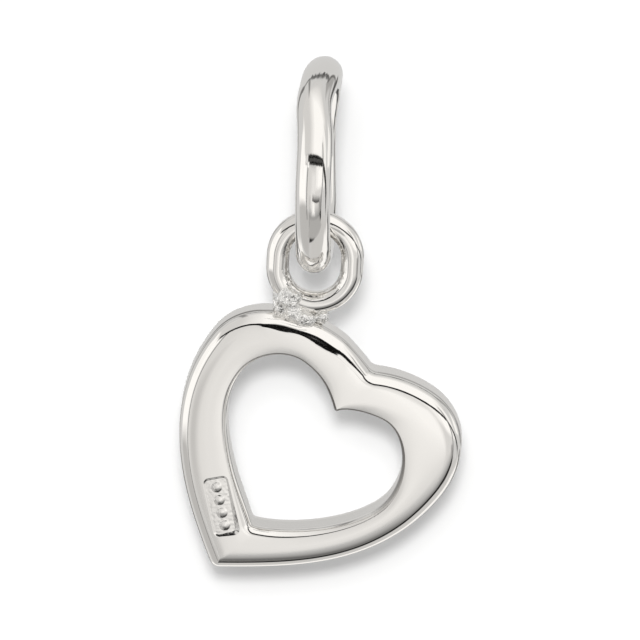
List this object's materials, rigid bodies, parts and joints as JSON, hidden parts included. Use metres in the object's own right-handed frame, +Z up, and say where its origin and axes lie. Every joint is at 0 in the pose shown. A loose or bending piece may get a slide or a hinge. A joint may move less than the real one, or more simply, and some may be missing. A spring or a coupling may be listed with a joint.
{
  "type": "heart pendant",
  "caption": "Open heart pendant in polished silver, with a small soldered loop that hangs from a heavy round bail ring for a chain.",
  "frame": {"origin": "inside top of the bail ring, the point that rests on a chain", "axes": "+Z up, +X to the right as the flat back is seen, +Y from the flat back towards the domed front; the heart lies in the XZ plane and the bail ring in the YZ plane"},
  "size_m": [0.0096, 0.0074, 0.0184],
  "materials": {
    "bail_silver": "polished silver",
    "heart_silver": "polished silver"
  },
  "bodies": {
    "bail": {"bail_ring": "bail_silver"},
    "heart": {"heart_pendant": "heart_silver"}
  },
  "joints": [
    {"name": "heart_swing", "type": "hinge", "parent": "bail", "child": "heart", "pos_m": [0, 0, -0.0056], "axis": [0, 1, 0], "range_deg": [-60, 60]}
  ]
}
